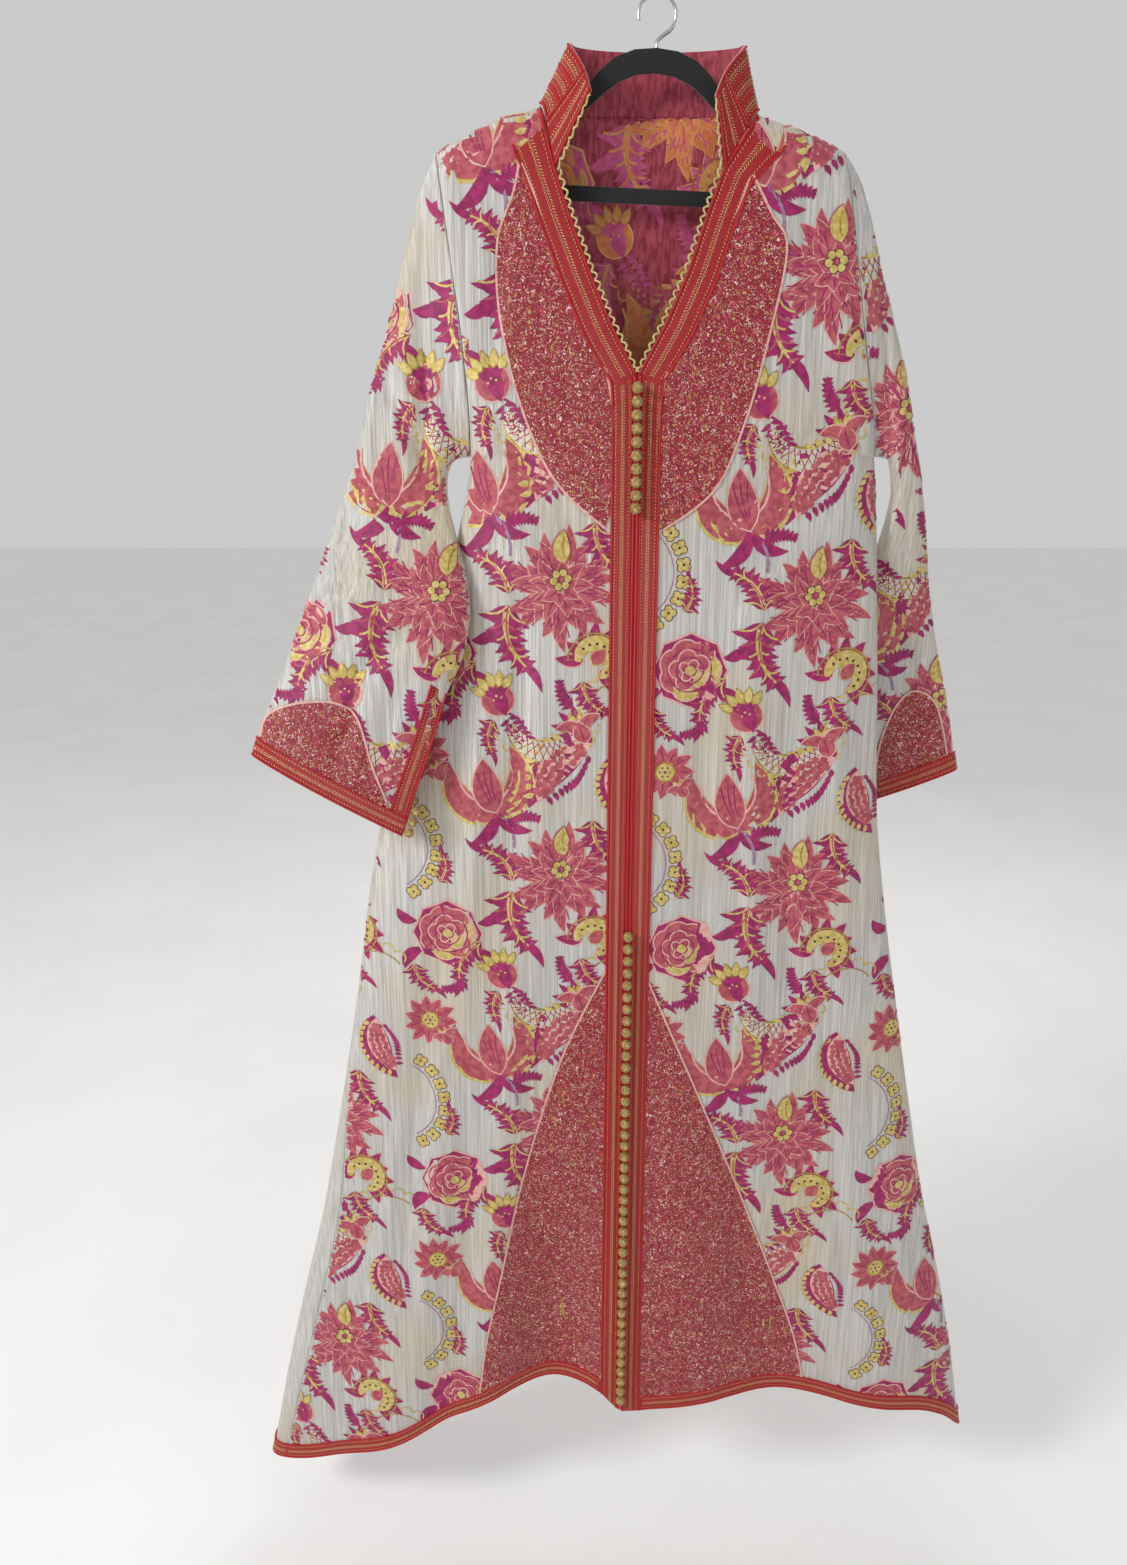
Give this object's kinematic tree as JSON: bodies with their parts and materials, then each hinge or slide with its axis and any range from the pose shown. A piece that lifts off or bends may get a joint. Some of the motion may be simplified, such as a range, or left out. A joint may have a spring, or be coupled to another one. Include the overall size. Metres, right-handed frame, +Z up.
{
  "type": "moroccan kaftan on a hanger",
  "caption": "Floor-length Moroccan kaftan in figured brocade with red braid, stand collar and ball buttons, hung closed on a slim black hanger.",
  "frame": {"origin": "underside of the top of the hanger's hook, where the hook rests on a rail", "axes": "+Z up, -Y the way the garment's front faces, +X the wearer's left"},
  "size_m": [0.9037, 0.124, 1.6649],
  "materials": {
    "brocade": "figured satin with gold lurex",
    "braid": "red silk braid with gold stitching",
    "strip": "red silk edge strip",
    "button": "knotted gold thread",
    "hanger": "black flock on plastic",
    "hook": "bright steel wire"
  },
  "bodies": {
    "root": {"front_right": "brocade", "front_left": "brocade", "back": "brocade", "sleeve_right": "brocade", "sleeve_left": "brocade", "collar": "brocade", "collar_braid": "braid", "hem_braid_back": "braid", "neck_braid_right": "braid", "front_braid_right": "braid", "hem_braid_front_right": "braid", "cuff_braid_right": "braid", "slit_braid_front_right": "braid", "slit_braid_back_right": "braid", "neck_braid_left": "braid", "front_braid_left": "braid", "hem_braid_front_left": "braid", "cuff_braid_left": "braid", "slit_braid_front_left": "braid", "slit_braid_back_left": "braid", "edge_strip_right": "strip", "edge_strip_left": "strip", "upper_button_01": "button", "upper_button_02": "button", "upper_button_03": "button", "upper_button_04": "button", "upper_button_05": "button", "upper_button_06": "button", "upper_button_07": "button", "upper_button_08": "button", "upper_button_09": "button", "upper_button_10": "button", "lower_buttons": "button", "cuff_button_right_1": "button", "cuff_button_right_2": "button", "cuff_button_right_3": "button", "cuff_button_left_1": "button", "cuff_button_left_2": "button", "cuff_button_left_3": "button", "hanger": "hanger", "hook": "hook"}
  },
  "joints": []
}
